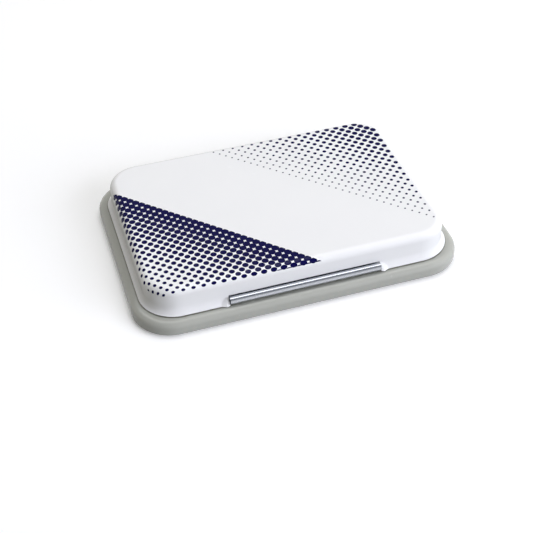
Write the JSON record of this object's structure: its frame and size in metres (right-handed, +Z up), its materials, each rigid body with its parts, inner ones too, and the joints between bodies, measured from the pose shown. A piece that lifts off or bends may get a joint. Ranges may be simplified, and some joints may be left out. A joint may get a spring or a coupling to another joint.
{
  "type": "ink stamp pad",
  "caption": "Flat ink stamp pad: rounded tinplate lid with a rolled thumb lip, hinged to a flanged plastic base that holds a framed, cloth-covered felt pad.",
  "frame": {"origin": "middle of the base's underside, on the table", "axes": "+X along the length, to the right seen from the thumb lip; +Y from the thumb lip to the hinge; +Z up"},
  "size_m": [0.128, 0.091, 0.017],
  "materials": {
    "grey_plastic": "satin moulded polystyrene, warm light grey",
    "printed_tin": "gloss white lithographed tinplate with dark blue halftone dots",
    "steel_wire": "drawn wire",
    "bare_tin": "bright tinplate",
    "inked_felt": "wool felt soaked with ink",
    "inked_cloth": "woven cotton, damp with ink"
  },
  "bodies": {
    "base": {"base_tray": "grey_plastic", "hinge_pin": "steel_wire", "pad_tray": "bare_tin", "felt_core": "inked_felt", "top_felt": "inked_felt", "pad_cloth": "inked_cloth", "pad_frame": "bare_tin"},
    "lid": {"lid_shell": "printed_tin"}
  },
  "joints": [
    {"name": "lid_hinge", "type": "hinge", "parent": "base", "child": "lid", "pos_m": [0, 0.0415, 0.0077], "axis": [-1, 0, 0], "range_deg": [0, 140]}
  ]
}
